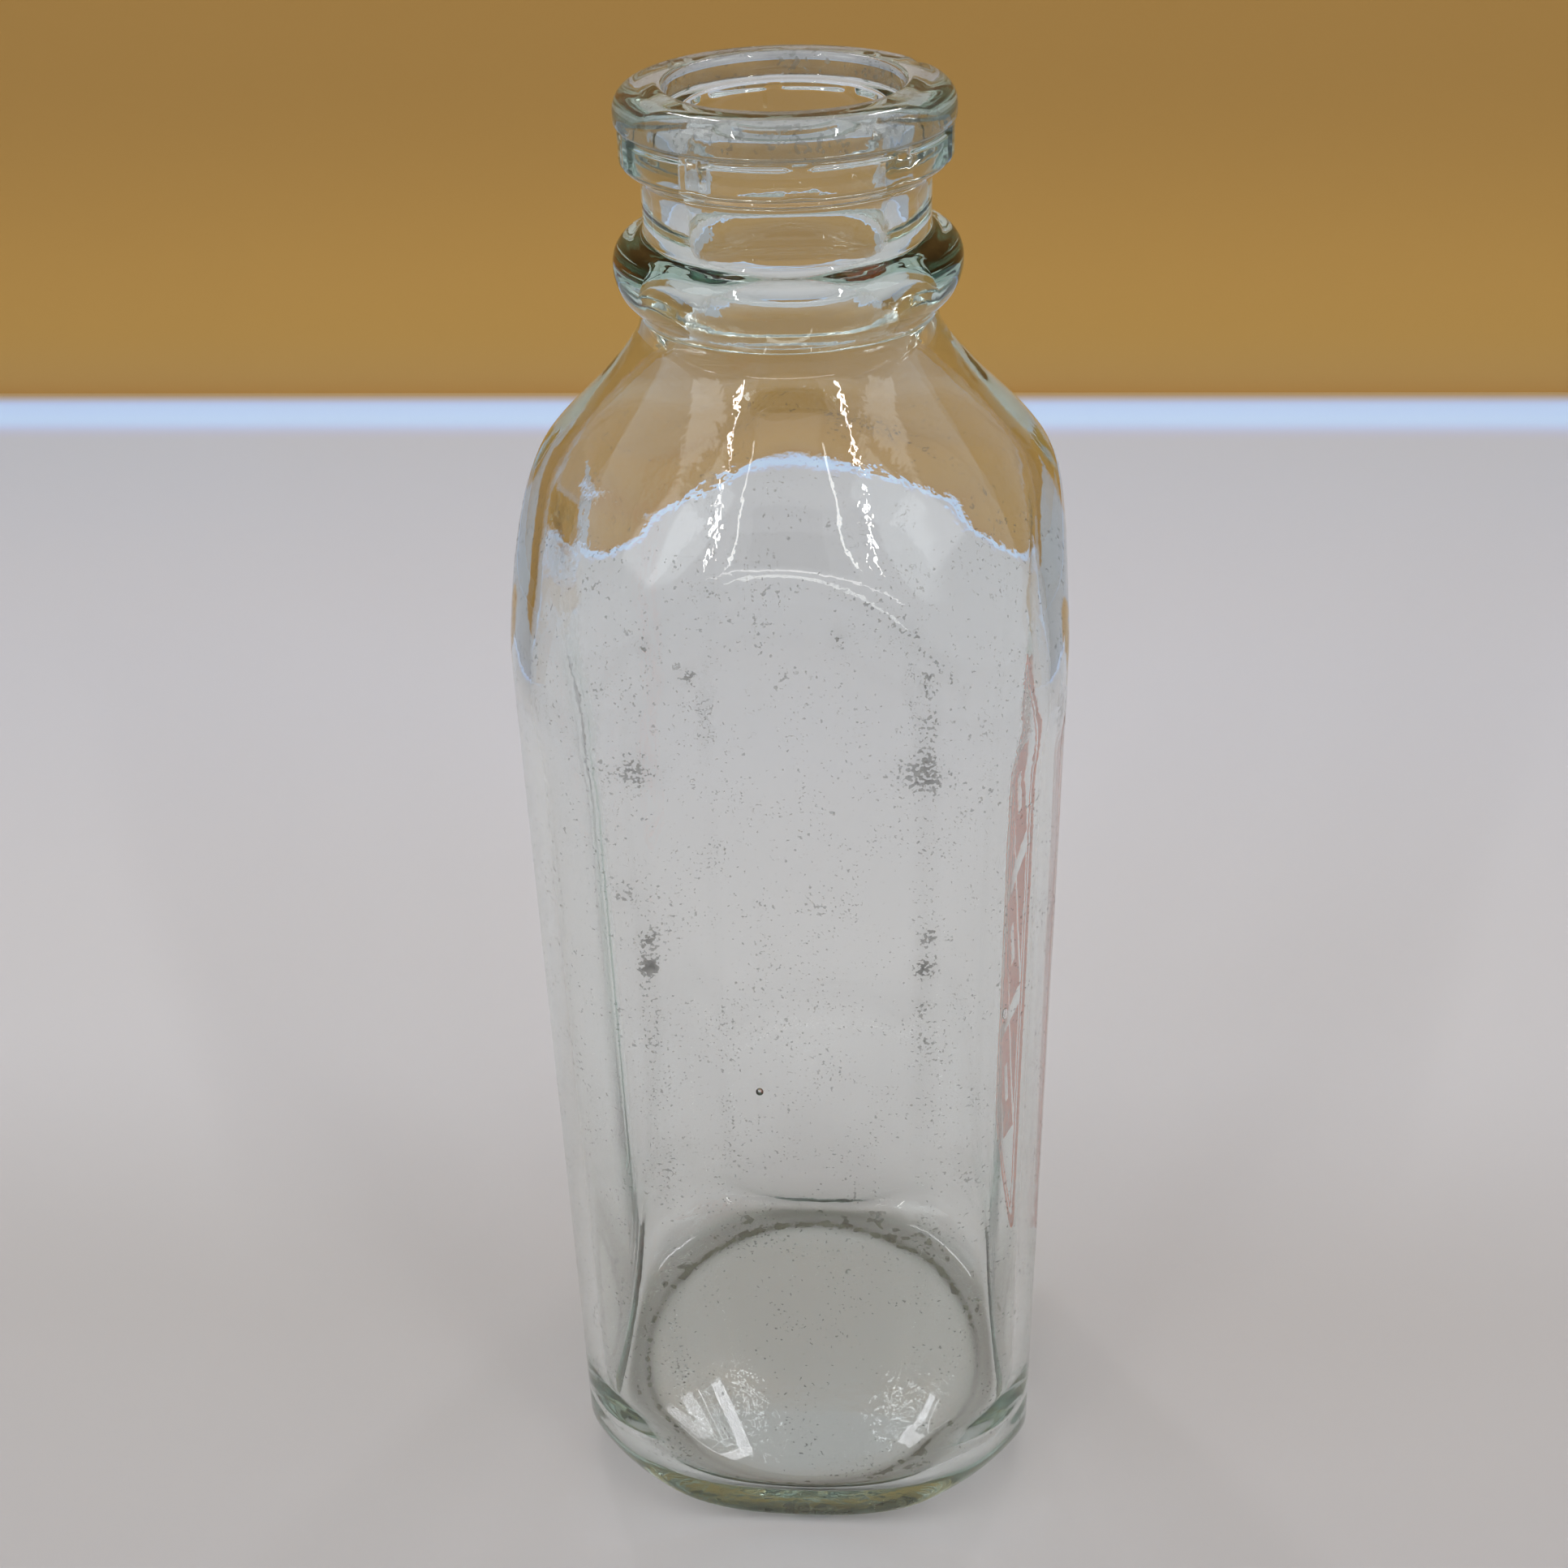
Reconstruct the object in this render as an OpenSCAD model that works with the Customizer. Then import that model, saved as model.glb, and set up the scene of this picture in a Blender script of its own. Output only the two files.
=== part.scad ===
// Square quart milk bottle: clear blown glass with a round shoulder on a square body,
// a beaded cap finish, and a fired-on enamel print on one flat panel.
// Millimetres. The origin is the centre of the foot and +Z runs up the bottle.

/* [Whole bottle] */
// Height from the foot to the top of the lip
bottle_h = 241; // [225:1:260]
// Width across two opposite flat panels
body_w = 80.2; // [74:0.2:88]
// Radius of the four upright corners, seen from above
corner_r = 21; // [18:0.5:24]
// How far each flat panel is hollowed at its middle
panel_hollow = 0.3; // [0.1:0.1:0.8]
// Thickness of the glass in the body and the shoulder
wall = 3; // [2.4:0.1:4]

/* [Foot] */
// Radius of the round heel under the corners
heel_r = 15.2; // [12:0.2:18]
// Radius of the round edge along the foot of each flat panel
panel_heel_r = 5.5; // [3:0.5:6]
// Width of the flat ring that the bottle stands on
bearing_w = 4; // [2.5:0.5:6]
// Height of the push-up in the middle of the base
push_up = 2.6; // [1:0.2:4]
// Thickness of the glass in the base
base_t = 5.5; // [4:0.5:8]

/* [Shoulder] */
// Angle off upright at which the round shoulder leaves the upright corners
shoulder_start = 13; // [10:0.5:18]
// Angle between the shoulder cone and the axis
cone_angle = 43.5; // [38:0.5:48]
// Diameter at which the shoulder turns from round to conical
cone_d = 62.4; // [56:0.2:68]
// Radius of the sweep between the shoulder cone and the neck
neck_sweep_r = 9; // [6:0.5:12]
// Radius of the sweep inside the neck, where it opens into the shoulder
throat_sweep_r = 12; // [9:0.5:16]

/* [Neck] */
// Diameter of the straight neck
neck_d = 39.7; // [38:0.1:41]
// Diameter just under the neck ring
neck_root_d = 41.8; // [41:0.1:43]
// Depth below the lip at which the shoulder cone would meet the neck root
root_drop = 34.5; // [33:0.5:38]
// Diameter of the neck ring
ring_d = 48.7; // [46:0.1:51]
// Radius of the neck ring's rounded edge
ring_round = 5.6; // [5:0.1:6.2]
// Depth of the neck ring's middle below the lip
ring_drop = 24; // [23.5:0.1:24.5]
// Radius of the cove between the neck and the ring
ring_cove_r = 1.5; // [0.8:0.1:2.5]

/* [Finish] */
// Diameter of the top bead
bead_d = 46.2; // [45:0.1:48]
// Radius of the bead's rounded top edge
bead_round = 3.2; // [2.4:0.1:3.6]
// Depth of the bead's lower edge below the lip
bead_h = 5; // [4.5:0.1:5.3]
// Diameter inside the groove under the bead
groove_d = 44.4; // [43.6:0.1:44.8]
// Height of the groove
groove_h = 0.9; // [0.5:0.1:1.2]
// Diameter of the lower band
band_d = 45.2; // [45:0.1:46]
// Height of the lower band's straight side
band_h = 4; // [3.2:0.1:4.4]
// Height of the slope under the lower band
band_slope_h = 2; // [1.2:0.1:2.6]
// Radius of the small rounds on the bead and the band
edge_round = 0.5; // [0.2:0.1:0.6]
// Number of small upright lugs on the lower band
lug_count = 10; // [6:1:12]
// Width of a lug, round the band
lug_w = 3.4; // [2:0.1:4]
// How far a lug stands out from the band
lug_proud = 0.25; // [0.15:0.05:0.4]
// Height of a lug's lower end above the band's lower edge
lug_rise = 0.4; // [0.2:0.1:1]
// Turn of the first lug from the front of the bottle
lug_turn = 8.25; // [0:0.25:36]

/* [Mouth] */
// Diameter of the cap seat
seat_d = 32.2; // [30:0.1:34]
// Depth of the cap seat's ledge below the lip
seat_depth = 3.3; // [2.8:0.1:4]
// Radius of the mouth's rounded edge
mouth_round = 0.9; // [0.5:0.1:1.2]
// Diameter of the throat below the cap seat
throat_d = 27.4; // [25:0.1:29]

/* [Panel print] */
// Height of the print's frame
print_h = 104; // [80:1:110]
// Width of the clear glass between the print and the round corners
print_margin = 2.6; // [1.6:0.2:5]
// Height of the frame's lower edge above the foot
print_z = 48; // [40:1:56]
// Width of the frame's heavy line
frame_line = 2.2; // [1.4:0.1:3]
// Width of the thin lines
thin_line = 0.9; // [0.6:0.1:1.4]
// Gap between the heavy line and the thin line inside it
line_gap = 1.2; // [0.8:0.1:2]
// Radius of the thin line's corners, on its inner side
line_corner_r = 1.2; // [0.8:0.1:2]
// Number of lozenges up the middle of the print
lozenge_count = 3; // [2:1:4]
// Share of the room inside the frame that a lozenge is wide
lozenge_fill = 0.9; // [0.6:0.02:0.92]
// Share of a lozenge that its clear middle takes
lozenge_open = 0.36; // [0.2:0.02:0.6]
// Share of the half width that a triangle beside the lozenges takes
triangle_fill = 0.85; // [0.5:0.05:0.9]
// Thickness of the enamel
enamel_t = 0.15; // [0.1:0.05:0.3]

/* [Hidden] */

$fn = 96;
// Angle that one step of a drawn arc turns through
arc_step = 4;
// Step count of the shallow curve in a panel
panel_fn = 720;
// How far a cutting solid runs past the glass
over = 1;
// How far a lug's upper end runs up inside the bead
lug_sunk = 0.5;
// How far the bar that rounds the panels' lower edges stands outside the panels
bar_clear = 0.1;

half_w = body_w / 2;
corner_at = half_w - corner_r;
diag_r = corner_at * sqrt(2) + corner_r;
panel_r = (corner_at * corner_at + panel_hollow * panel_hollow) / (2 * panel_hollow);

foot_r = diag_r - heel_r;
bar_half = half_w + bar_clear;
bar_r = min(panel_heel_r, (half_w - foot_r) * 0.76);
bearing_in_r = foot_r - bearing_w;
dome_r = (bearing_in_r * bearing_in_r + push_up * push_up) / (2 * push_up);

root_r = neck_root_d / 2;
neck_r = neck_d / 2;
cone_r = cone_d / 2;
root_z = bottle_h - root_drop;
cone_z = root_z - (cone_r - root_r) / tan(cone_angle);
shoulder_r = (diag_r - cone_r) / (cos(shoulder_start) - cos(cone_angle));
shoulder_cx = cone_r - shoulder_r * cos(cone_angle);
shoulder_cz = cone_z - shoulder_r * sin(cone_angle);
sweep_z = root_z + neck_sweep_r * tan(cone_angle / 2);

ring_z = bottle_h - ring_drop;
ring_cx = ring_d / 2 - ring_round;
ring_under_a = -acos((root_r - ring_cx) / ring_round);
cove_cx = neck_r + ring_cove_r;
cove_z = ring_z + sqrt(pow(ring_round + ring_cove_r, 2) - pow(cove_cx - ring_cx, 2));
cove_a = atan2(cove_z - ring_z, cove_cx - ring_cx);

bead_r = bead_d / 2;
groove_r = groove_d / 2;
band_r = band_d / 2;
bead_z = bottle_h - bead_h;
band_top_z = bead_z - groove_h;
band_z = band_top_z - band_h;
bead_edge = min(edge_round, (bead_r - groove_r) * 0.9);
band_edge = min(edge_round, (band_r - groove_r) * 0.9);
seat_r = seat_d / 2;
throat_r = throat_d / 2;
seat_z = bottle_h - seat_depth;

inner_half = half_w - wall;
inner_corner_r = corner_r - wall;
inner_diag_r = diag_r - wall;
inner_heel_r = heel_r - wall;
inner_foot_r = inner_diag_r - inner_heel_r;
inner_shoulder_r = shoulder_r - wall;
floor_z = base_t + push_up;
floor_rim_z = base_t;
floor_dome_r = (inner_foot_r * inner_foot_r + push_up * push_up) / (2 * push_up);
inner_cone_r = cone_r - wall * cos(cone_angle);
inner_cone_z = cone_z - wall * sin(cone_angle);
throat_corner_z = inner_cone_z + (inner_cone_r - throat_r) / tan(cone_angle);
throat_sweep_z = throat_corner_z + throat_sweep_r * tan(cone_angle / 2);

print_w = 2 * (corner_at - print_margin);
inset = frame_line + line_gap;
inner_w = print_w - 2 * (inset + thin_line);
lozenge_w = inner_w * lozenge_fill;
lozenge_pitch = (print_h - 4 * inset) / lozenge_count;
lozenge_h = lozenge_pitch * 0.86;
triangle_x = inner_w / 2 - line_gap;
triangle_w = triangle_x * triangle_fill;
triangle_h = 2 * triangle_w * lozenge_h / lozenge_w;

// Points on an arc of radius r about [cx, cz], from angle a0 to angle a1
function arc(cx, cz, r, a0, a1) =
    let (n = ceil(abs(a1 - a0) / arc_step))
    [for (i = [0 : n]) let (a = a0 + (a1 - a0) * i / n) [cx + r * cos(a), cz + r * sin(a)]];

// The angle on a shoulder arc of radius r at which it is as far out as x
function shoulder_angle(r, x) = acos((x - shoulder_cx) / r);

// Plan of the body: a square with round corners and four shallow hollow sides
module square_plan(half, corner, hollow_sides) {
    at = half - corner;
    difference() {
        union() {
            square([2 * half, 2 * at], center = true);
            square([2 * at, 2 * half], center = true);
            for (x = [-at, at], y = [-at, at])
                translate([x, y]) circle(corner);
        }
        if (hollow_sides)
            for (a = [0 : 90 : 270])
                rotate(a) translate([half + panel_r - panel_hollow, 0])
                    circle(panel_r, $fn = panel_fn);
    }
}

// Outside of the bottle in section, from the foot to the lip, drawn right of the axis
module outer_section() {
    polygon(concat(
        [[0, 0]],
        arc(foot_r, heel_r, heel_r, -90, 0),
        arc(shoulder_cx, shoulder_cz, shoulder_r, shoulder_angle(shoulder_r, diag_r), cone_angle),
        arc(root_r + neck_sweep_r, sweep_z, neck_sweep_r, 180 + cone_angle, 180),
        arc(ring_cx, ring_z, ring_round, ring_under_a, cove_a),
        arc(cove_cx, cove_z, ring_cove_r, 180 + cove_a, 180),
        [[neck_r, band_z - band_slope_h],
         [band_r, band_z]],
        arc(band_r - band_edge, band_top_z - band_edge, band_edge, 0, 90),
        [[groove_r, band_top_z],
         [groove_r, bead_z]],
        arc(bead_r - bead_edge, bead_z + bead_edge, bead_edge, -90, 0),
        arc(bead_r - bead_round, bottle_h - bead_round, bead_round, 0, 90),
        [[0, bottle_h]]));
}

// Inside of the bottle in section, from the floor to the throat
module cavity_section() {
    polygon(concat(
        arc(0, floor_z - floor_dome_r, floor_dome_r, 90, acos(inner_foot_r / floor_dome_r)),
        arc(inner_foot_r, floor_rim_z + inner_heel_r, inner_heel_r, -90, 0),
        arc(shoulder_cx, shoulder_cz, inner_shoulder_r,
            shoulder_angle(inner_shoulder_r, inner_diag_r), cone_angle),
        arc(throat_r + throat_sweep_r, throat_sweep_z, throat_sweep_r, 180 + cone_angle, 180),
        [[throat_r, seat_z + over],
         [0, seat_z + over]]));
}

// The cap seat and the rounded edge of the mouth above it, in section
module mouth_section() {
    square_top = bottle_h + over;
    difference() {
        translate([0, seat_z]) square([seat_r + mouth_round, square_top - seat_z]);
        translate([seat_r, seat_z - over])
            square([mouth_round + over, bottle_h - mouth_round - seat_z + over]);
        translate([seat_r + mouth_round, bottle_h - mouth_round]) circle(mouth_round);
    }
}

// Small upright lugs that cross the groove and the lower band
module lugs() {
    lug_deg = lug_w / band_r * 180 / PI;
    lug_in_r = (groove_r + throat_r) / 2;
    for (i = [0 : lug_count - 1])
        rotate(lug_turn - 90 + i * 360 / lug_count - lug_deg / 2)
            rotate_extrude(angle = lug_deg)
                translate([lug_in_r, band_z + lug_rise])
                    square([band_r + lug_proud - lug_in_r,
                        bead_z + lug_sunk - band_z - lug_rise]);
}

// A bar as wide as the body, as tall as the bottle, with two rounded lower edges
module heel_bar() {
    rotate([90, 0, 0])
        linear_extrude(body_w + 2 * over, center = true)
            union() {
                translate([-bar_half, bar_r])
                    square([2 * bar_half, bottle_h + over - bar_r]);
                translate([bar_r - bar_half, 0])
                    square([2 * (bar_half - bar_r), bottle_h / 2]);
                for (side = [-1, 1])
                    translate([side * (bar_half - bar_r), bar_r]) circle(bar_r);
            }
}

module bottle() {
    color([0.82, 0.87, 0.86, 0.4])
    difference() {
        union() {
            intersection() {
                linear_extrude(bottle_h) square_plan(half_w, corner_r, true);
                rotate_extrude() outer_section();
                heel_bar();
                rotate(90) heel_bar();
            }
            lugs();
        }
        intersection() {
            linear_extrude(bottle_h) square_plan(inner_half, inner_corner_r, false);
            rotate_extrude() cavity_section();
        }
        rotate_extrude() mouth_section();
        translate([0, 0, push_up - dome_r]) sphere(dome_r);
    }
}

// Rectangle with round corners
module rounded(w, h, r) {
    square([w, h - 2 * r], center = true);
    square([w - 2 * r, h], center = true);
    for (x = [-1, 1], y = [-1, 1])
        translate([x * (w / 2 - r), y * (h / 2 - r)]) circle(r);
}

// Frame of width line outside a rectangle with round corners of radius r
module frame(w, h, r, line) {
    difference() {
        rounded(w + 2 * line, h + 2 * line, r + line);
        rounded(w, h, r);
    }
}

// Lozenge of width w and height h
module lozenge(w, h) {
    polygon([[-w / 2, 0], [0, -h / 2], [w / 2, 0], [0, h / 2]]);
}

// The print, drawn flat: a double frame round a column of open lozenges, with
// triangles in from the sides between them
module print_outline() {
    frame(inner_w, print_h - 2 * (inset + thin_line), line_corner_r, thin_line);
    frame(print_w - 2 * frame_line, print_h - 2 * frame_line,
        line_corner_r + thin_line + line_gap, frame_line);
    for (i = [0 : lozenge_count - 1])
        translate([0, (i - (lozenge_count - 1) / 2) * lozenge_pitch])
            difference() {
                lozenge(lozenge_w, lozenge_h);
                lozenge(lozenge_w * lozenge_open, lozenge_h * lozenge_open);
            }
    for (i = [0 : lozenge_count - 2], side = [-1, 1])
        translate([side * triangle_x, (i - (lozenge_count - 2) / 2) * lozenge_pitch])
            polygon([[0, -triangle_h / 2], [-side * triangle_w, 0], [0, triangle_h / 2]]);
}

module panel_print() {
    color([0.80, 0.30, 0.20])
    intersection() {
        translate([corner_at, 0, print_z + print_h / 2])
            rotate([90, 0, 90]) linear_extrude(corner_r + over) print_outline();
        translate([half_w + panel_r - panel_hollow, 0, print_z - over])
            difference() {
                cylinder(h = print_h + 2 * over, r = panel_r, $fn = panel_fn);
                translate([0, 0, -over])
                    cylinder(h = print_h + 4 * over, r = panel_r - enamel_t, $fn = panel_fn);
            }
    }
}

bottle();
panel_print();
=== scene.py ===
import math

import bpy
import numpy as np
from mathutils import Matrix, Vector


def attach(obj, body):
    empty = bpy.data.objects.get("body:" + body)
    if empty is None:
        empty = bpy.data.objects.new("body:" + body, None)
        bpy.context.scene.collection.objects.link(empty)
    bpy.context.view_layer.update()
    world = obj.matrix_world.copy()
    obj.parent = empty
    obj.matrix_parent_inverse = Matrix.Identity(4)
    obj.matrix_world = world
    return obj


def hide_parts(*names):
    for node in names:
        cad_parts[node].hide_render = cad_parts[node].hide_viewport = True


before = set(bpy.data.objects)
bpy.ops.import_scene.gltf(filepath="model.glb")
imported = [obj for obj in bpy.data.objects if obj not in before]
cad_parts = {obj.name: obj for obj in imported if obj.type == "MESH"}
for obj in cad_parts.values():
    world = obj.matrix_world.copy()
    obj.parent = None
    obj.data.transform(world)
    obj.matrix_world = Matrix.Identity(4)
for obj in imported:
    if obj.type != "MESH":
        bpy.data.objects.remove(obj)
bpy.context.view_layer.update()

# ---------------------------------------------------------------------------
# Glass bottle: one piece of clear pressed and blown soda-lime glass, about
# 3 mm thick. The mould leaves the outside even; the inside is left to the air,
# so it is slightly wavy, which is what bends the streaks of light.
# ---------------------------------------------------------------------------
height = 0.241
half_width = 0.04007
print_panel_proud = 0.00003
corner_radius = 0.021
panel_hollow = 0.00025
wall = 0.003
base_thickness = 0.0055
push_up = 0.0026
bearing_inside = 0.0288
foot_radius = 0.0329
heel_radius = 0.0145
panel_heel_radius, panel_heel_clear, panel_heel_top = 0.0055, 0.0012, 0.02
tight_blend, shoulder_blend, inside_blend = 0.0008, 0.0031, 0.0050
clear_of_plan = 0.067
inside_clear_of_plan = 0.063
neck_radius = 0.01985
band_radius, band_edge = 0.0226, 0.0003
groove_radius = 0.0222
bead_radius, bead_edge, bead_round = 0.0231, 0.0006, 0.0032
mouth_round = 0.0009
seat_radius, ledge_z = 0.0161, 0.2377
throat_radius = 0.0137
ledge_round = 0.0004
columns = 220


def share(value, start, width):
    """How far value has come from start over width: their difference over width, held from 0 to 1.
    A negative width counts down from 1."""
    return np.clip((value - start) / width, 0.0, 1.0)


def hump(value, middle, width):
    """A bell of height 1: e to the minus (distance over width) squared."""
    return np.exp(-(((value - middle) / width) ** 2))


def soft_min(a, b, k):
    """The lower of a and b, blended over k: b and a mixed by h, less k times h times (1 - h)."""
    h = np.clip(0.5 + 0.5 * (b - a) / k, 0.0, 1.0)
    return b * (1 - h) + a * h - k * h * (1 - h)


def plan_radius(turn, half, corner, hollow):
    """Distance from the axis to a square with round corners: half over the cosine on a side, less a
    parabola that hollows it, and the far crossing with the corner's circle past its end."""
    long = np.maximum(np.abs(np.cos(turn)), np.abs(np.sin(turn)))
    short = np.minimum(np.abs(np.cos(turn)), np.abs(np.sin(turn)))
    at = half - corner
    across = half / long * short
    side = (half - hollow * np.clip(1 - (across / at) ** 2, 0, 1)) / long
    along = at * (long + short)
    rounded = along + np.sqrt(np.maximum(along**2 - (2 * at**2 - corner**2), 0))
    return np.where(across <= at, side, rounded)


def straight(start, end, count):
    """Points (r, z) spaced evenly on the line from start to end."""
    return np.stack([np.linspace(a, b, count) for a, b in zip(start, end)], 1)


def arc(centre_r, centre_z, radius, start, end, count):
    """Points (r, z) on an arc about (centre_r, centre_z), from angle start to end in degrees."""
    a = np.radians(np.linspace(start, end, count))
    return np.stack([centre_r + radius * np.cos(a), centre_z + radius * np.sin(a)], 1)


def through(knots, count):
    """Points (r, z) on a smooth curve through the knots: a cubic with slopes taken from the knots
    on either side, spaced evenly along the knots' own length."""
    k = np.asarray(knots, float)
    t = np.concatenate([[0], np.cumsum(np.hypot(*np.diff(k, axis=0).T))])
    m = np.gradient(k, t, axis=0)
    s = np.linspace(0, t[-1], count)
    i = np.clip(np.searchsorted(t, s, side="right") - 1, 0, len(t) - 2)
    w = (t[i + 1] - t[i])[:, None]
    u = ((s - t[i])[:, None]) / w
    return ((2 * u**3 - 3 * u**2 + 1) * k[i] + (u**3 - 2 * u**2 + u) * w * m[i]
            + (3 * u**2 - 2 * u**3) * k[i + 1] + (u**3 - u**2) * w * m[i + 1])


def ripple(turn, z, seed, waves):
    """A sum of sine waves round and up the bottle, whole numbers of waves round, so it closes."""
    rng = np.random.default_rng(seed)
    total = np.zeros(np.broadcast(turn, z).shape)
    for n in range(waves):
        around = rng.integers(1, 9)
        up = rng.uniform(20, 220)
        phase, other = rng.uniform(0, 2 * np.pi, 2)
        total = total + np.sin(around * turn + phase) * np.sin(up * z + other) / (1 + 0.12 * around)
    return total / np.sqrt(waves)


turn = np.linspace(0, 2 * np.pi, columns, endpoint=False)[None, :]

# outside, from the middle of the base up to the lip: rings (r, z), which the square plan then cuts;
# up the body they lie clear of the plan, so the plan alone shapes it
dome_radius = (bearing_inside**2 + push_up**2) / (2 * push_up)
dome_r = np.linspace(0.0006, bearing_inside, 10)
dome = np.stack([dome_r, push_up - dome_radius + np.sqrt(dome_radius**2 - dome_r**2)], 1)
bearing = straight((bearing_inside + 0.0006, 0), (foot_radius - 0.0004, 0), 5)
heel = arc(foot_radius, heel_radius, heel_radius, -90, -4, 22)
body_foot_z, body_top_z = 0.0152, 0.128
body_z = np.linspace(body_foot_z, body_top_z, 34)
body = np.stack([np.minimum(0.050 + 0.3 * (body_z - body_foot_z), clear_of_plan), body_z], 1)
body[:2, 0] = 0.0478, 0.0495
shoulder = through([(0.0670, 0.130), (0.0620, 0.140), (0.0571, 0.150), (0.0521, 0.160),
                    (0.0471, 0.170), (0.0428, 0.180), (0.03655, 0.190), (0.02705, 0.200),
                    (0.02332, 0.2045), (0.0213, 0.2080), (0.0209, 0.2100)], 86)[1:]
ring = through([(0.0209, 0.2104), (0.0214, 0.2113), (0.0223, 0.2122), (0.02335, 0.2134),
                (0.0241, 0.2152), (0.02435, 0.2173), (0.0239, 0.2191), (0.0231, 0.2201),
                (0.0220, 0.2207), (0.0208, 0.2210), (0.0201, 0.2214), (0.01985, 0.2223)], 34)
neck = straight((neck_radius, 0.2248), (neck_radius, 0.2288), 6)
band = np.concatenate([
    through([(0.01995, 0.2293), (0.0206, 0.2300), (0.0215, 0.2305), (0.0223, 0.2310),
             (0.0226, 0.2315)], 9),
    straight((band_radius, 0.2319), (band_radius, 0.2347), 7),
    arc(band_radius - band_edge, 0.2349, band_edge, 20, 90, 3),
    straight((groove_radius, 0.2354), (groove_radius, 0.2359), 2)])
bead = np.concatenate([
    arc(bead_radius - bead_edge, 0.2367, bead_edge, -75, 0, 5),
    [(bead_radius, 0.2372)],
    arc(bead_radius - bead_round, 0.2378, bead_round, 0, 90, 15)])
outside = np.concatenate([dome, bearing, heel, body, shoulder, ring, neck, band, bead])

# inside, from the lip down to the middle of the floor
mouth = np.concatenate([
    straight((0.0192, height), (0.0174, height), 4),
    arc(seat_radius + mouth_round, height - mouth_round, mouth_round, 90, 180, 7),
    straight((seat_radius, 0.2396), (seat_radius, 0.2382), 4),
    arc(seat_radius - ledge_round, 0.2381, ledge_round, -20, -90, 3),
    straight((0.0153, ledge_z), (0.0144, ledge_z), 3),
    arc(throat_radius + ledge_round, 0.2373, ledge_round, 90, 180, 4)])
inside_path = through([(throat_radius, 0.2366), (throat_radius, 0.2300), (throat_radius, 0.2220),
                       (0.01385, 0.2160), (0.0152, 0.2095), (0.0187, 0.2040), (0.0243, 0.1980),
                       (0.0330, 0.1885), (0.0397, 0.1780), (0.0440, 0.1690), (0.0492, 0.1580),
                       (0.0545, 0.1470), (0.0600, 0.1360), (0.0630, 0.1250)], 116)
inside_body = straight((inside_clear_of_plan, 0.1235), (inside_clear_of_plan, 0.0180), 28)
inside_body[-2:, 0] = 0.0480, 0.0452
inside_heel = arc(0.0330, 0.0176, 0.0121, -3, -88, 18)
floor_r = np.linspace(0.0325, 0.0006, 14)
inside_floor = np.stack([floor_r, base_thickness + push_up * (1 - (floor_r / 0.033) ** 2)], 1)
inside = np.concatenate([mouth, inside_path, inside_body, inside_heel, inside_floor])


def outside_radius(ring_r, z, turn):
    """How far out the outside is: the blend of the plan, the ring and the round edge under a panel,
    which is set back by a quarter circle at the foot; the blend is wider up at the shoulder, and
    the panel that carries the print stands a hair further out, to meet the enamel's back."""
    toward_print = share(np.cos(turn), 0.85, 0.03)
    plan = plan_radius(turn, half_width + print_panel_proud * toward_print, corner_radius,
                       panel_hollow)
    low = np.clip(panel_heel_radius - z, 0, panel_heel_radius)
    set_back = panel_heel_radius - np.sqrt(panel_heel_radius**2 - low**2)
    long = np.maximum(np.abs(np.cos(turn)), np.abs(np.sin(turn)))
    heel_edge = (half_width + panel_heel_clear - set_back) / long
    r = np.where(z < panel_heel_top, soft_min(plan, heel_edge, tight_blend), plan)
    return soft_min(r, ring_r, tight_blend + shoulder_blend * share(z, 0.06, 0.08))


def inside_radius(ring_r, z, turn):
    """The same for the inside: the plan moved in by the wall, with a looser blend."""
    plan = plan_radius(turn, half_width - wall, corner_radius - wall, 0.0)
    return soft_min(plan, ring_r, inside_blend - 0.0006 * share(z, 0.13, 0.03))


# ten small lugs cross the lower band and the groove above it
lug_count, lug_width, lug_proud, lug_edge = 10, 0.0034, 0.00025, 0.0005
first_lug, lug_pitch = math.radians(-81.75), 2 * np.pi / lug_count
z_out, z_in = outside[:, 1:], inside[:, 1:]
out_r = np.where(outside[:, :1] > 0, outside_radius(outside[:, :1], z_out, turn), 0)
from_lug = np.abs((turn - first_lug + lug_pitch / 2) % lug_pitch - lug_pitch / 2) * band_radius
lug = np.clip((lug_width / 2 - from_lug) / lug_edge + 0.5, 0, 1)
on_band = share(z_out, 0.2313, 0.0005) * share(z_out, 0.2362, -0.0003)
out_r = out_r + on_band * lug * np.maximum(band_radius + lug_proud - out_r, 0)

# the inside: thicker glass up the shoulder, most at its corners, and the waves the air leaves
up_shoulder = share(z_in, 0.1527, 0.0352)
thicker = (0.00127 + 0.00112 * np.sin(2 * turn) ** 2) * up_shoulder**2 * (3 - 2 * up_shoulder)
loose = share(z_in, 0.232, -0.02) * (0.15 + 0.85 * share(z_in, 0.130, 0.03))
wave = 0.00007 * loose * (1 + np.clip(ripple(turn, z_in, 4, 26), -1.4, 1.4))
in_r = inside_radius(inside[:, :1], z_in, turn) - thicker * share(z_in, 0.2205, -0.014) - wave

# one chip in the lip, at the back on the right
chip_turn, chip_radius, chip_wide, chip_deep = math.radians(32), 0.0216, 0.0016, 0.0008
grid_r = np.concatenate([out_r, in_r])
grid_z = np.concatenate([np.broadcast_to(z_out, out_r.shape), np.broadcast_to(z_in, in_r.shape)])
from_chip = np.hypot((turn - chip_turn) * chip_radius,
                     np.hypot(grid_r - chip_radius, grid_z - height))
grid_z = grid_z - chip_deep * hump(from_chip, 0, chip_wide)
points = np.stack([grid_r * np.cos(turn), grid_r * np.sin(turn), grid_z], -1).reshape(-1, 3)


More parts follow.
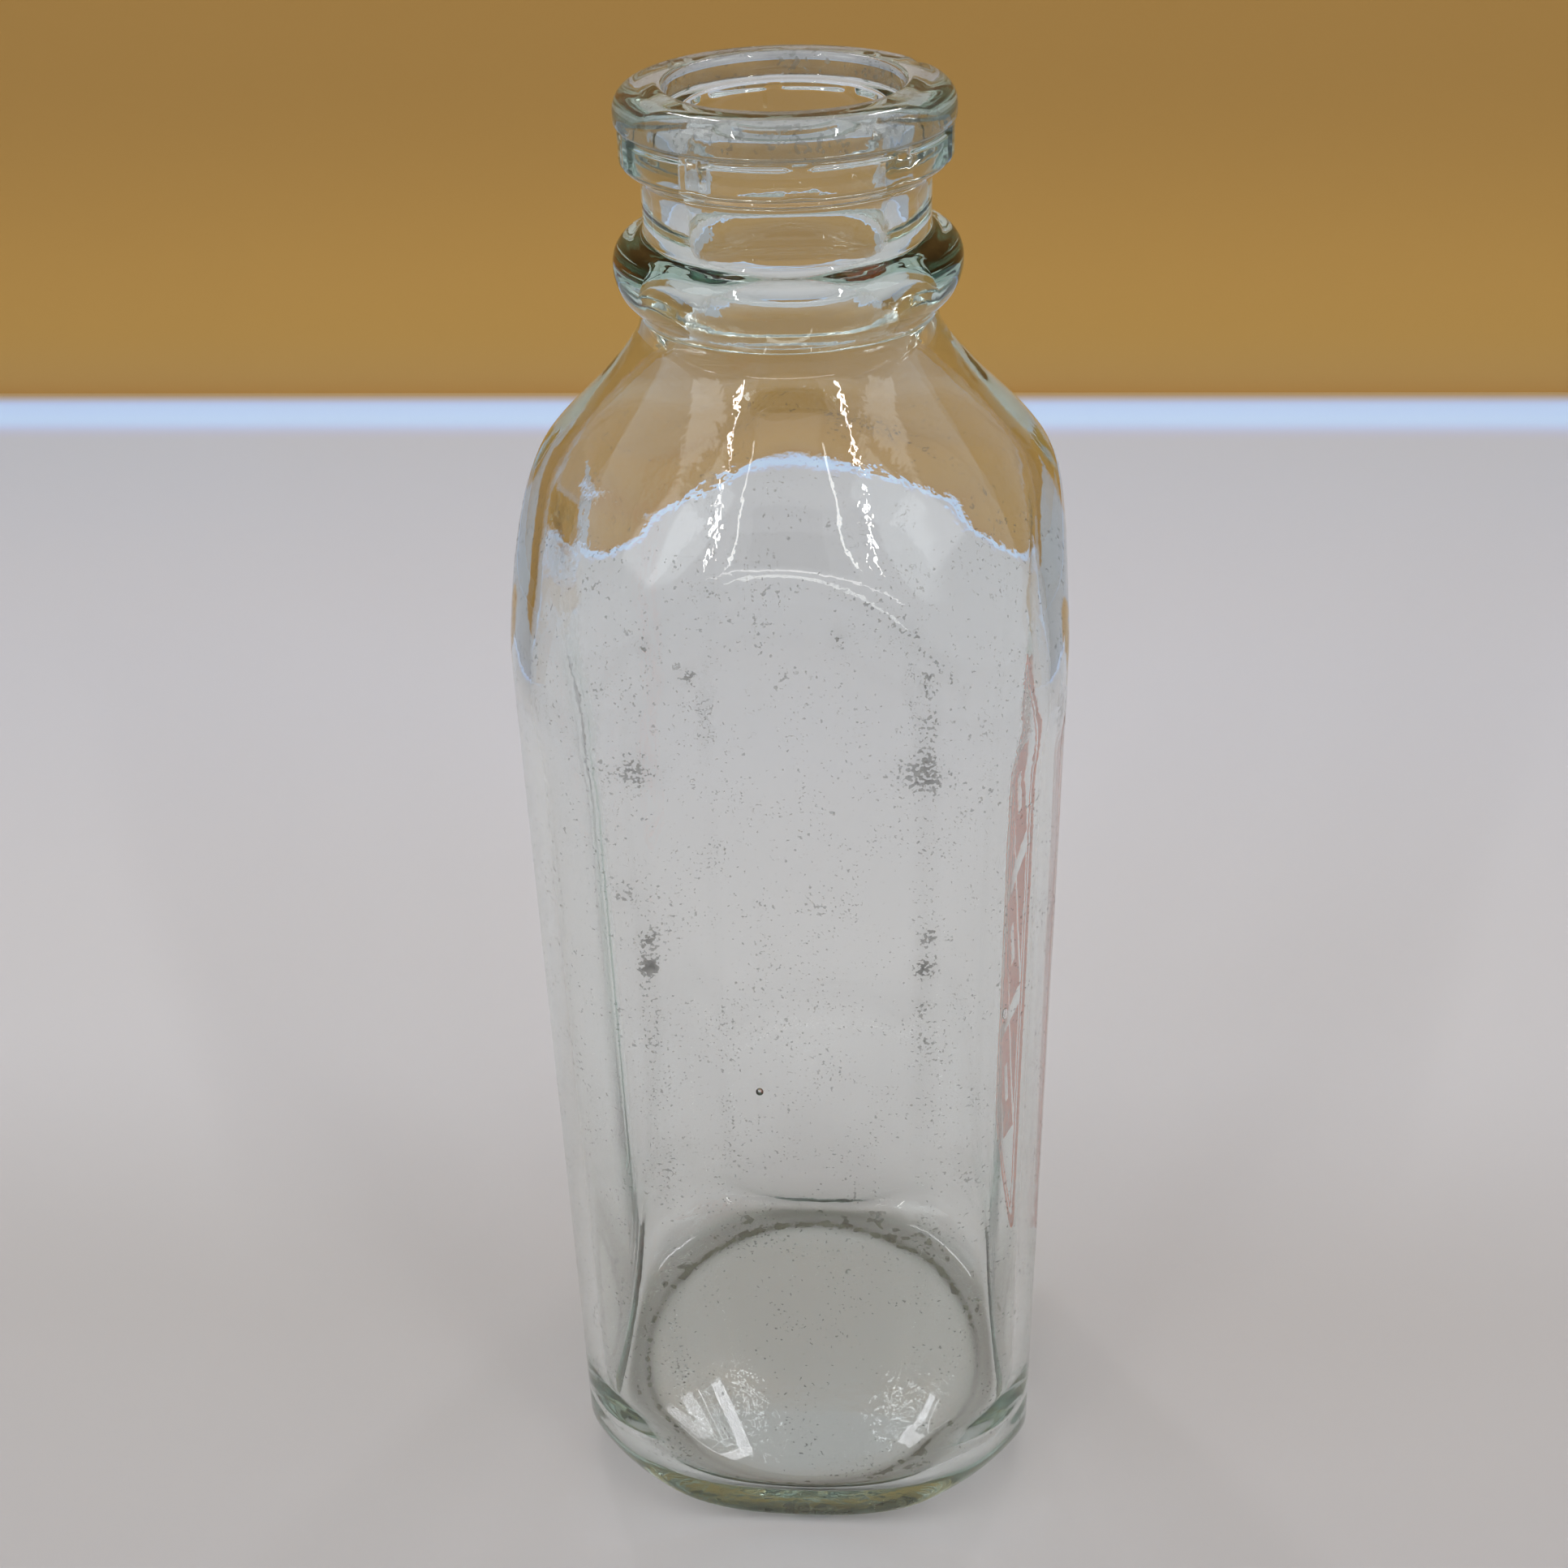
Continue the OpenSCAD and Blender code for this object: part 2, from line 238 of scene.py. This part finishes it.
def new_piece(name, points, faces):
    """A smooth mesh object of these points and faces."""
    mesh = bpy.data.meshes.new(name)
    mesh.from_pydata(points, [], faces)
    mesh.polygons.foreach_set("use_smooth", np.ones(len(faces), bool))
    mesh.update()
    piece = bpy.data.objects.new(name, mesh)
    bpy.context.scene.collection.objects.link(piece)
    return piece


def ring_faces(rows, columns):
    """Quads between each ring of points and the next, closed round the ring."""
    i, j = np.meshgrid(np.arange(rows - 1), np.arange(columns), indexing="ij")
    k = (j + 1) % columns
    return np.stack([i * columns + j, i * columns + k, (i + 1) * columns + k,
                     (i + 1) * columns + j], -1).reshape(-1, 4).tolist()


def solid_from_rings(name, points, rows, columns, first_pole, last_pole):
    """A closed mesh: rings joined by quads, and a fan of triangles from a pole at each end."""
    n, last_ring = len(points), (rows - 1) * columns
    j = np.arange(columns)
    k = (j + 1) % columns
    start = np.stack([np.full(columns, n), k, j], -1)
    end = np.stack([np.full(columns, n + 1), last_ring + j, last_ring + k], -1)
    return new_piece(name, np.concatenate([points, [first_pole, last_pole]]),
                     ring_faces(rows, columns) + start.tolist() + end.tolist())


def keep_numbers(piece, name, values):
    """Keeps one number for each point as an attribute that a material can read."""
    kept = piece.data.attributes.new(name, "FLOAT", "POINT")
    kept.data.foreach_set("value", np.asarray(values, np.float32).ravel())


bottle = solid_from_rings("bottle_glass", points, len(grid_r), columns,
                          (0, 0, push_up), (0, 0, base_thickness + push_up))

# the mould leaves its own fine texture: a little all over, more up two streaks at the front of the
# shoulder, where the mould ran cold, a stipple under the base, and next to none inside
x_out, y_out = out_r * np.cos(turn), out_r * np.sin(turn)
cold_streaks = hump(x_out, -0.0085, 0.0042) + hump(x_out, 0.0120, 0.0042)
texture_out = 0.22 + 0.85 * cold_streaks * share(z_out, 0.150, 0.020) * (y_out < 0)
texture_out = texture_out + 7.0 * share(z_out, 0.004, -0.003)
texture_in = np.repeat(0.10 * (z_in[:, 0] < 0.009), columns)
keep_numbers(bottle, "mould_side", np.concatenate([texture_out.ravel(), texture_in, [0.2, 0.0]]))


def new_material(name, finish):
    """A node material with only its output and a Principled surface, whose sockets finish sets."""
    made = bpy.data.materials.new(name)
    made.use_nodes = True
    tree = made.node_tree
    tree.nodes.clear()
    out = tree.nodes.new("ShaderNodeOutputMaterial")
    skin = tree.nodes.new("ShaderNodeBsdfPrincipled")
    tree.links.new(skin.outputs["BSDF"], out.inputs["Surface"])
    for socket, value in finish.items():
        skin.inputs[socket].default_value = value
    return made, tree, skin, out


def number(tree, kind, a, b, clamp=False):
    """One sum of this kind on a and b, each a number or the output of another node."""
    node = tree.nodes.new("ShaderNodeMath")
    node.operation, node.use_clamp = kind, clamp
    for socket, value in zip(node.inputs, (a, b)):
        if isinstance(value, (int, float)):
            socket.default_value = value
        else:
            tree.links.new(value, socket)
    return node.outputs["Value"]


def remap(tree, value, low, high, to_low=0.0, to_high=1.0, curve="LINEAR"):
    """The value carried from low..high to to_low..to_high, and held at the ends."""
    node = tree.nodes.new("ShaderNodeMapRange")
    node.interpolation_type = curve
    node.inputs["From Min"].default_value, node.inputs["From Max"].default_value = low, high
    node.inputs["To Min"].default_value, node.inputs["To Max"].default_value = to_low, to_high
    tree.links.new(value, node.inputs["Value"])
    return node.outputs["Result"]


def noise(tree, scale, detail, stretch=None):
    """Noise over the object's own metres, which stretch multiplies first where it is given."""
    place = tree.nodes.new("ShaderNodeTexCoord").outputs["Object"]
    if stretch is not None:
        stretched = tree.nodes.new("ShaderNodeMapping")
        stretched.inputs["Scale"].default_value = stretch
        tree.links.new(place, stretched.inputs["Vector"])
        place = stretched.outputs["Vector"]
    grain = tree.nodes.new("ShaderNodeTexNoise")
    grain.inputs["Scale"].default_value, grain.inputs["Detail"].default_value = scale, detail
    tree.links.new(place, grain.inputs["Vector"])
    return grain.outputs["Fac"]


def along_axis(tree, axis):
    """How far along one axis of the object a point is, in metres."""
    coords, split = tree.nodes.new("ShaderNodeTexCoord"), tree.nodes.new("ShaderNodeSeparateXYZ")
    tree.links.new(coords.outputs["Object"], split.inputs["Vector"])
    return split.outputs[axis]


def kept_number(tree, name):
    """The number that the mesh keeps under this name."""
    node = tree.nodes.new("ShaderNodeAttribute")
    node.attribute_name = name
    return node.outputs["Fac"]


clear_glass, tree, skin, out = new_material("clear_soda_glass", {
    "Base Color": (0.995, 1.0, 0.998, 1), "Transmission Weight": 1.0, "Roughness": 0.0, "IOR": 1.52})
absorb = tree.nodes.new("ShaderNodeVolumeAbsorption")
absorb.inputs["Color"].default_value = (0.55, 0.76, 0.68, 1)
absorb.inputs["Density"].default_value = 17.0
tree.links.new(absorb.outputs["Volume"], out.inputs["Volume"])
stronger_up = remap(tree, along_axis(tree, "Z"), 0.135, 0.165, 0.22, 1.0)
orange_peel = number(tree, "MULTIPLY", noise(tree, 390.0, 2.5), stronger_up)
bump = tree.nodes.new("ShaderNodeBump")
bump.inputs["Strength"].default_value = 1.0
bump.inputs["Distance"].default_value = 0.00009
tree.links.new(number(tree, "MULTIPLY", orange_peel, kept_number(tree, "mould_side")),
               bump.inputs["Height"])
tree.links.new(bump.outputs["Normal"], skin.inputs["Normal"])
bottle.data.materials.append(clear_glass)
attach(bottle, "root")
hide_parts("bottle")

# ---------------------------------------------------------------------------
# Air seeds: two small bubbles left in the glass, one in the front right corner
# and one low in the front panel. Air inside glass, so the index is turned over.
# ---------------------------------------------------------------------------
seed_columns, seed_rows = 24, 11
trapped_air = new_material("trapped_air", {
    "Base Color": (1, 1, 1, 1), "Transmission Weight": 1.0, "Roughness": 0.0, "IOR": 0.658})[0]


def air_seed(name, middle, radius, tall):
    """A small closed ellipsoid: rings of cos(latitude) out and sin(latitude) up, with two poles."""
    lat = np.linspace(-math.pi / 2, math.pi / 2, seed_rows + 2)[1:-1, None]
    around = np.linspace(0, 2 * np.pi, seed_columns, endpoint=False)[None, :]
    rings = np.stack([np.cos(lat) * np.cos(around) * radius, np.cos(lat) * np.sin(around) * radius,
                      np.sin(lat) * tall + 0 * around], -1).reshape(-1, 3) + middle
    seed = solid_from_rings(name, rings, seed_rows, seed_columns,
                            np.add(middle, (0, 0, -tall)), np.add(middle, (0, 0, tall)))
    seed.data.materials.append(trapped_air)
    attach(seed, "root")


air_seed("air_seed_corner", (0.0322, -0.0352, 0.1125), 0.00045, 0.0011)
air_seed("air_seed_front", (-0.0048, -0.0386, 0.0995), 0.00060, 0.0007)

# ---------------------------------------------------------------------------
# Case wear: grey specks and rub marks where bottles stood side by side in the
# case, along both edges of each panel and over the shoulder. A thin worn skin.
# ---------------------------------------------------------------------------
wear_lift = 0.00002
rub_across, rub_width = 0.0204, 0.0008
wear_rows = 177
speck_edge = 0.07


def worn_skin(name, radius, z, amount):
    """An open sheet from rings of points, with the amount of wear kept at each point."""
    rings = np.stack([radius * np.cos(turn), radius * np.sin(turn),
                      np.broadcast_to(z, radius.shape)], -1)
    piece = new_piece(name, rings.reshape(-1, 3), ring_faces(len(radius), columns))
    keep_numbers(piece, "wear", amount)
    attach(piece, "root")
    return piece


def mixed(tree, factor, first, second):
    """The colour first where the factor is 0, second where it is 1, and their mix between."""
    node = tree.nodes.new("ShaderNodeMix")
    node.data_type = "RGBA"
    node.inputs["A"].default_value, node.inputs["B"].default_value = (*first, 1), (*second, 1)
    tree.links.new(factor, node.inputs["Factor"])
    return node.outputs["Result"]


def specks(name, dark, pale, fine, coarse, least, gain, spread, most, haze):
    """A film that shows where fine noise is over a limit, which the wear and coarse noise bring
    down: its alpha is most plus a quarter of the wear, or else the wear times haze."""
    made, tree, skin, out = new_material(name, {"Roughness": 0.8, "Specular IOR Level": 0.1})
    wear = kept_number(tree, "wear")
    brought_down = number(tree, "SUBTRACT", least, number(tree, "MULTIPLY", wear, gain))
    coarse_part = number(tree, "SUBTRACT", noise(tree, coarse, 1.0), 0.5)
    limit = number(tree, "SUBTRACT", brought_down, number(tree, "MULTIPLY", coarse_part, spread))
    over = number(tree, "SUBTRACT", noise(tree, fine, 1.5), limit)
    speck = number(tree, "DIVIDE", over, speck_edge, clamp=True)
    solid = number(tree, "ADD", number(tree, "MULTIPLY", wear, 0.25), most)
    alpha = number(tree, "MAXIMUM", number(tree, "MULTIPLY", speck, solid),
                   number(tree, "MULTIPLY", wear, haze))
    tree.links.new(alpha, skin.inputs["Alpha"])
    tree.links.new(mixed(tree, noise(tree, fine * 0.45, 0.0), dark, pale), skin.inputs["Base Color"])
    return made


low_row = len(dome) + len(bearing)
climb = slice(low_row, low_row + len(heel) + len(body) + len(shoulder))
wear_z = np.linspace(0.0125, 0.1885, wear_rows)[:, None]
wear_r = outside_radius(np.interp(wear_z, outside[climb, 1], outside[climb, 0]), wear_z, turn)
wear_x = wear_r * np.cos(turn)
at_front = np.sin(turn) < 0
across = wear_r * np.minimum(np.abs(np.cos(turn)), np.abs(np.sin(turn)))
uneven = np.clip(0.6 + 0.5 * ripple(turn, wear_z, 9, 30), 0, 1.6)
heavy = (0.50 + 1.20 * hump(wear_z, 0.124, 0.013) + 0.45 * hump(wear_z, 0.165, 0.008)
         + 0.25 * hump(wear_z, 0.040, 0.020))
rubbed = hump(across, rub_across, rub_width) * heavy * share(wear_z, 0.172, -0.006)
arch_z = 0.1853 - 0.0097 * (across / 0.0205) ** 2.6
arched = 0.55 * hump(wear_z, arch_z, 0.0014) * (across < 0.026)
scuffed = 0.62 * hump(across, 0.0195, 0.0035) * hump(wear_z, 0.1575, 0.0028) * at_front
# knocks on the front panel: x, z, size and weight of each
knocks = [(-0.0203, 0.1237, 0.0011, 1.7), (-0.0202, 0.1288, 0.0009, 1.2),
          (0.0204, 0.1298, 0.0012, 1.2), (0.0202, 0.1243, 0.0016, 1.4),
          (0.0203, 0.1173, 0.0008, 1.0), (-0.0121, 0.1725, 0.0010, 1.0),
          (-0.0181, 0.1765, 0.0008, 1.0), (0.0081, 0.1786, 0.0011, 0.8),
          (0.0197, 0.1715, 0.0012, 0.9), (-0.0236, 0.1364, 0.0017, 0.6)]
knocked = sum(weight * hump(np.hypot(wear_x - x, 0.75 * (wear_z - z)), 0, size)
              for x, z, size, weight in knocks) * at_front
wear = np.clip((rubbed + arched) * uneven + scuffed + knocked + 0.02 + 0.10 * uneven, 0, 1.8)
worn = worn_skin("case_wear", wear_r + wear_lift, wear_z, wear)
worn.data.materials.append(specks(
    "case_wear_specks", (0.012, 0.011, 0.008), (0.27, 0.27, 0.245), fine=1500.0, coarse=140.0,
    least=0.695, gain=0.27, spread=0.30, most=0.40, haze=0.10))

# ---------------------------------------------------------------------------
# Lip wear: the grey bloom and scratches that capping and filling machines have
# left on the lip, its bead and the top of the seat. A film just inside the skin.
# ---------------------------------------------------------------------------
lip_sunk = 0.00004
rows_under_bead, rows_into_mouth = 2, 17
on_lip = slice(len(out_r) - len(bead) - rows_under_bead, len(out_r) + rows_into_mouth)
lip_r, lip_z = grid_r[on_lip], grid_z[on_lip]
step_r, step_z = np.gradient(lip_r, axis=0), np.gradient(lip_z, axis=0)
step = np.maximum(np.hypot(step_r, step_z), 1e-9)
lip_worn = np.clip(0.70 + 0.55 * ripple(turn, lip_z * 4 + lip_r * 6, 33, 22), 0.15, 1.4)
lip_film = worn_skin("lip_wear", lip_r - lip_sunk * step_z / step,
                     lip_z + lip_sunk * step_r / step, lip_worn)
lip_film.data.materials.append(specks(
    "lip_wear_bloom", (0.10, 0.11, 0.10), (0.50, 0.52, 0.50), fine=1100.0, coarse=170.0,
    least=0.76, gain=0.22, spread=0.40, most=0.33, haze=0.36))

# ---------------------------------------------------------------------------
# Base grime and contact shade: grey-green dirt in the stippled ring that the
# bottle stands on, browner at the front, and painted shade that darkens the same
# ring where the glass meets the table. A thin ring just inside the glass.
base_film_sunk = 0.00015
base_film_rings = np.concatenate([
    straight((0.0300, base_film_sunk), (0.0325, base_film_sunk), 6),
    arc(foot_radius, heel_radius, heel_radius - base_film_sunk, -90, -40, 25)])
ring_r, ring_z = base_film_rings[:, :1], base_film_rings[:, 1:]
base_film_r = np.minimum(ring_r, outside_radius(ring_r + 0.0006, ring_z, turn) - base_film_sunk)
# dirt and painted contact shade: darkest at the edge of the foot, where the glass meets the table,
# and softer over the heel
ring_dirt_and_shade = hump(ring_r, 0.0328, 0.0011) + 0.70 * hump(ring_r, 0.0362, 0.0040)
patchy = np.clip(0.62 + 0.55 * ripple(turn, ring_z, 21, 12), 0.15, 1.3)
splashed = 0.75 * hump(turn, math.radians(270), 0.60) * hump(ring_z, 0.0036, 0.0030)
caked = 0.6 * hump(turn, math.radians(272), 0.30) * hump(ring_r, 0.0362, 0.0016)
grime_and_shade_ring = worn_skin("base_grime_and_contact_shade", base_film_r, ring_z,
                   np.clip(splashed + ring_dirt_and_shade * patchy + caked, 0, 1.3))
grime_and_shade_ring.data.materials.append(specks(
    "base_dirt_and_contact_shade", (0.085, 0.08, 0.045), (0.26, 0.27, 0.215), fine=420.0, coarse=90.0,
    least=0.80, gain=0.36, spread=0.30, most=0.50, haze=0.42))

# ---------------------------------------------------------------------------
# Panel print: vitreous enamel screened on the right-hand panel and fired into
# the glass. Years in the bottle washer, whose brushes run along the panel, have
# faded it in streaks and worn pinholes through it.
# ---------------------------------------------------------------------------
red_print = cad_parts["panel_print"]
enamel, tree, skin, out = new_material("fired_red_enamel", {
    "Roughness": 0.5, "Specular IOR Level": 0.03})
streaks = noise(tree, 1.0, 2.0, (0.0, 420.0, 60.0))
tree.links.new(mixed(tree, streaks, (0.85, 0.15, 0.03), (0.86, 0.26, 0.10)),
               skin.inputs["Base Color"])
pinholes = noise(tree, 1.0, 2.0, (0.0, 950.0, 170.0))
bald_places = noise(tree, 1.0, 1.0, (0.0, 90.0, 45.0))
tree.links.new(remap(tree, number(tree, "ADD", pinholes, bald_places), 0.80, 0.86),
               skin.inputs["Alpha"])
red_print.data.materials.clear()
red_print.data.materials.append(enamel)

# ---------------------------------------------------------------------------
# Studio: a pale matt table, darker towards the front as painted shade and bluer
# towards the wall to cancel the wall's warm bounce light, with a pale blue strip along its back
# edge that glows as a painted highlight; a warm wall behind it, a little lighter at its foot;
# two large and two small soft lights, a glowing ceiling, three tubes and a pale room. Three
# boards, two of them seen only in the glass, give the clear glass its edges.
# ---------------------------------------------------------------------------
table_z, table_half, table_back, wall_y, board_y = -0.0002, 3, 0.60, 0.506, 0.50
pale_board = (0.47, 0.475, 0.49)


def flat_sheet(name, corners, colour, roughness):
    """A single quad of one colour."""
    sheet = new_piece(name, corners, [(0, 1, 2, 3)])
    sheet.data.materials.append(new_material(name + "_paint", {
        "Base Color": (*colour, 1), "Roughness": roughness, "Specular IOR Level": 0.2})[0])
    return sheet


table = flat_sheet("table", [(-table_half, -table_half, table_z), (table_half, -table_half, table_z),
                             (table_half, table_back, table_z), (-table_half, table_back, table_z)],
                   (0.62, 0.61, 0.62), 0.6)
back_wall = flat_sheet("wall", [(-table_half, wall_y, -0.6), (table_half, wall_y, -0.6),
                                (table_half, wall_y, 0.9), (-table_half, wall_y, 0.9)],
                       (0.45, 0.25, 0.070), 0.9)
board_left = flat_sheet("board_left", [(-1.6, board_y, 0), (-0.25, board_y, 0),
                                       (-0.25, board_y, 0.08), (-1.6, board_y, 0.22)],
                        pale_board, 0.8)
board_right = flat_sheet("board_right", [(0.27, board_y, 0), (1.6, board_y, 0),
                                         (1.6, board_y, 0.50), (0.27, board_y, 0.06)],
                         pale_board, 0.8)
for board in (board_left, board_right):
    board.visible_camera = board.visible_diffuse = board.visible_shadow = False
flat_sheet("dark_board", [(-0.36, -0.62, 1.10), (0.40, -0.62, 1.10),
                          (0.40, -1.05, 0.72), (-0.36, -1.05, 0.72)], (0.03, 0.03, 0.035), 0.9)


def soft_change(sheet, axis, stops, socket="Base Color"):
    """Colour along one axis of the sheet: a ramp through (place in metres, colour) stops."""
    tree = sheet.active_material.node_tree
    first, last = stops[0][0], stops[-1][0]
    ramp = tree.nodes.new("ShaderNodeValToRGB")
    tree.links.new(remap(tree, along_axis(tree, axis), first, last), ramp.inputs["Fac"])
    elements = ramp.color_ramp.elements
    ramp.color_ramp.interpolation = "EASE"
    while len(elements) < len(stops):
        elements.new(0.5)
    for element, (place, colour) in zip(elements, stops):
        element.position = (place - first) / (last - first)
        element.color = (*colour, 1)
    skin = next(n for n in tree.nodes if n.type == "BSDF_PRINCIPLED")
    tree.links.new(ramp.outputs["Color"], skin.inputs[socket])
    skin.inputs["Emission Strength"].default_value = 1.0 if socket == "Emission Color" else 0.0


# painted shade and light on the table: darker towards the front, bluer towards the wall to cancel
# the wall's warm bounce light, pale blue at the back edge as a painted highlight
soft_change(table, "Y", [(-0.20, (0.45, 0.44, 0.44)), (0.00, (0.51, 0.505, 0.51)),
                         (0.10, (0.62, 0.63, 0.66)), (0.30, (0.62, 0.65, 0.715)),
                         (0.462, (0.60, 0.65, 0.74)), (0.478, (0.63, 0.86, 1.0)),
                         (0.490, (0.61, 0.83, 1.0)), (0.506, (0.49, 0.34, 0.14))])
# painted highlight: the table's back edge glows in a pale blue strip, though no lamp is there
soft_change(table, "Y", [(0.455, (0, 0, 0)), (0.476, (0.005, 0.02, 0.19)),
                         (0.492, (0.005, 0.02, 0.19)), (0.506, (0, 0, 0))], "Emission Color")
soft_change(back_wall, "Z", [(-0.02, (0.48, 0.29, 0.10)), (0.03, (0.50, 0.285, 0.073)),
                             (0.13, (0.405, 0.232, 0.063)), (0.9, (0.42, 0.24, 0.065))])


def glow_card(name, azimuth, elevation, distance, width, length, strength, colour, lift=0.15):
    """A card that faces the axis at height lift, and glows, with edges that fade to nothing: both
    its glow and how solid it is are the product of a smooth step in from each pair of edges."""
    a, e = math.radians(azimuth), math.radians(elevation)
    away = np.array([math.sin(a) * math.cos(e), -math.cos(a) * math.cos(e), math.sin(e)])
    side = np.array([math.cos(a), math.sin(a), 0.0])
    upright = np.cross(away, side)
    middle = away * distance + np.array([0, 0, lift])
    corners = [middle + side * x * width / 2 + upright * y * length / 2
               for x, y in ((-1, -1), (1, -1), (1, 1), (-1, 1))]
    card = new_piece(name, corners, [(0, 1, 2, 3)])
    card.data.uv_layers.new(name="card").data.foreach_set(
        "uv", np.array([0, 0, 1, 0, 1, 1, 0, 1], np.float32))
    made = bpy.data.materials.new(name + "_glow")
    made.use_nodes = True
    tree = made.node_tree
    tree.nodes.clear()
    out, glow = tree.nodes.new("ShaderNodeOutputMaterial"), tree.nodes.new("ShaderNodeEmission")
    uv, split = tree.nodes.new("ShaderNodeUVMap"), tree.nodes.new("ShaderNodeSeparateXYZ")
    uv.uv_map = "card"
    tree.links.new(uv.outputs["UV"], split.inputs["Vector"])
    step_x, step_y = (remap(tree, number(tree, "PINGPONG", split.outputs[axis], 0.5), 0.0, 0.14,
                            curve="SMOOTHSTEP") for axis in "XY")
    fade = number(tree, "MULTIPLY", step_x, step_y)
    glow.inputs["Color"].default_value = (*colour, 1)
    tree.links.new(number(tree, "MULTIPLY", fade, strength), glow.inputs["Strength"])
    clear, mix = tree.nodes.new("ShaderNodeBsdfTransparent"), tree.nodes.new("ShaderNodeMixShader")
    tree.links.new(fade, mix.inputs["Fac"])
    tree.links.new(clear.outputs["BSDF"], mix.inputs[1])
    tree.links.new(glow.outputs["Emission"], mix.inputs[2])
    tree.links.new(mix.outputs["Shader"], out.inputs["Surface"])
    card.data.materials.append(made)


glow_card("window_left", -64, 40, 1.7, 0.70, 0.95, 2.6, (0.93, 0.96, 1.0))
glow_card("window_right", 74, 41, 1.7, 0.70, 0.80, 2.4, (0.93, 0.96, 1.0))
glow_card("high_window_left", -151, 59, 0.85, 0.045, 0.22, 20.0, (0.97, 0.94, 1.0), 0.0)
glow_card("high_window_right", 150, 59, 0.85, 0.055, 0.17, 18.0, (0.97, 0.94, 1.0), 0.0)
glow_card("ceiling", 0, 88, 1.8, 1.8, 1.8, 1.05, (1.0, 0.99, 0.97))


def tube_light(name, low, high, width, watts, aim=0.16):
    """A long lamp from the point low to the point high, turned to face the axis at height aim."""
    low, high = np.array(low), np.array(high)
    middle, length = (low + high) / 2, np.linalg.norm(high - low)
    along = (high - low) / length
    away = middle - np.array([0, 0, aim])
    away = away - along * (away @ along)
    away = away / np.linalg.norm(away)
    data = bpy.data.lights.new(name, "AREA")
    data.shape, data.size, data.size_y = "RECTANGLE", width, length
    data.energy, data.color = watts, (1.0, 0.985, 0.96)
    lamp = bpy.data.objects.new(name, data)
    bpy.context.scene.collection.objects.link(lamp)
    turned = Matrix((np.cross(along, away), along, away)).transposed().to_4x4()
    lamp.matrix_world = Matrix.Translation(middle) @ turned


tube_light("tube_left", (-1.0, -1.75, 1.22), (-1.0, -0.80, 2.45), 0.05, 7.0)
tube_light("tube_right", (1.0, -1.32, 1.20), (1.0, -0.68, 2.35), 0.05, 6.0)
tube_light("tube_front", (-0.9, -1.75, 0.95), (1.3, -1.75, 0.95), 0.05, 2.0)

scene = bpy.context.scene
scene.world = bpy.data.worlds.new("room")
scene.world.use_nodes = True
room = scene.world.node_tree.nodes["Background"]
room.inputs["Color"].default_value = (0.95, 0.96, 1.0, 1)
room.inputs["Strength"].default_value = 0.68

# light meets the glass many times before it leaves it, so it is followed that far
scene.view_settings.view_transform = "Standard"
scene.cycles.blur_glossy = 0.0
scene.cycles.max_bounces = 32
scene.cycles.glossy_bounces = scene.cycles.transmission_bounces = 24

# the camera stands a little above the bottle and looks down at it
camera_data = bpy.data.cameras.new("camera")
camera_data.sensor_width = 36.0
camera_data.lens = 47.108
camera_data.clip_start = 0.01
camera = bpy.data.objects.new("camera", camera_data)
scene.collection.objects.link(camera)
camera_place = (0.018327, -0.279581, 0.306192)
right = Vector((0.997922, 0.059767, -0.024090))
up = Vector((-0.011360, 0.531153, 0.847200))
forward = Vector((-0.063430, 0.845166, -0.530728))
facing = Matrix((right, up, -forward)).transposed().to_4x4()
camera.matrix_world = Matrix.Translation(camera_place) @ facing
scene.camera = camera
